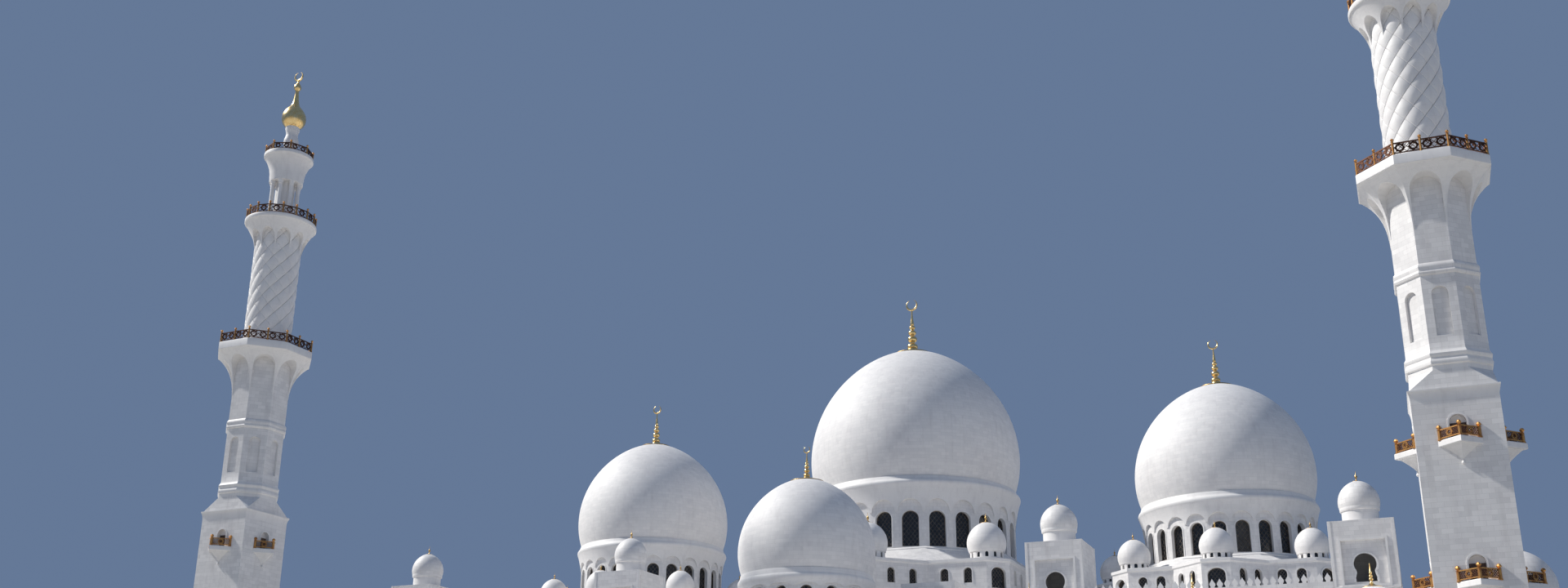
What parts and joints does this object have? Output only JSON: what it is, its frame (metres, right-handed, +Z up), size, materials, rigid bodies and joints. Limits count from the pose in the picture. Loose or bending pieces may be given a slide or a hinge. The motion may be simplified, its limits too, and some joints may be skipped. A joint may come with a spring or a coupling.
{
  "type": "1:10 scale model of a white marble mosque prayer hall with domes and minarets",
  "caption": "White marble mosque prayer hall with onion domes on star-shaped bases, a domed gallery in front and tall minarets with bronze-railed balconies.",
  "frame": {"origin": "on the ground under the middle of the plan", "axes": "+X along the front from the left minaret to the right one as seen from the court, +Y from the front gallery back through the hall, +Z up"},
  "size_m": [16.98, 10.955, 10.949],
  "materials": {
    "marble": "honed white marble",
    "gold": "gilded, satin",
    "bronze": "bronze, satin",
    "floor_stone": "honed stone paving"
  },
  "bodies": {
    "root": {"hall_front_wall": "marble", "hall_back_wall": "marble", "hall_left_wall": "marble", "hall_right_wall": "marble", "hall_roof": "marble", "left_front_roof": "marble", "right_front_roof": "marble", "gallery_left_wall": "marble", "gallery_right_wall": "marble", "entrance_block": "marble", "left_pavilion": "marble", "right_pavilion": "marble", "left_gallery_front_wall": "marble", "left_gallery_roof": "marble", "middle_gallery_front_wall": "marble", "middle_gallery_roof": "marble", "right_gallery_front_wall": "marble", "right_gallery_roof": "marble", "main_star_base": "marble", "main_terrace": "marble", "left_star_base": "marble", "left_terrace": "marble", "right_star_base": "marble", "right_terrace": "marble", "main_drum": "marble", "main_dome": "marble", "left_drum": "marble", "left_dome": "marble", "right_drum": "marble", "right_dome": "marble", "entrance_drum": "marble", "entrance_dome": "marble", "left_inner_tower": "marble", "left_outer_tower": "marble", "left_minaret_shaft": "marble", "left_minaret_ribbed_shaft": "marble", "left_minaret_lantern": "marble", "right_inner_tower": "marble", "right_outer_tower": "marble", "right_minaret_shaft": "marble", "right_minaret_ribbed_shaft": "marble", "right_minaret_lantern": "marble", "main_finial": "gold", "left_finial": "gold", "right_finial": "gold", "entrance_finial": "gold", "left_minaret_finial": "gold", "right_minaret_finial": "gold", "left_minaret_lower_rail": "bronze", "left_minaret_middle_rail": "bronze", "left_minaret_upper_rail": "bronze", "right_minaret_lower_rail": "bronze", "right_minaret_middle_rail": "bronze", "right_minaret_upper_rail": "bronze", "hall_floor": "floor_stone", "gallery_floor": "floor_stone"}
  },
  "joints": []
}
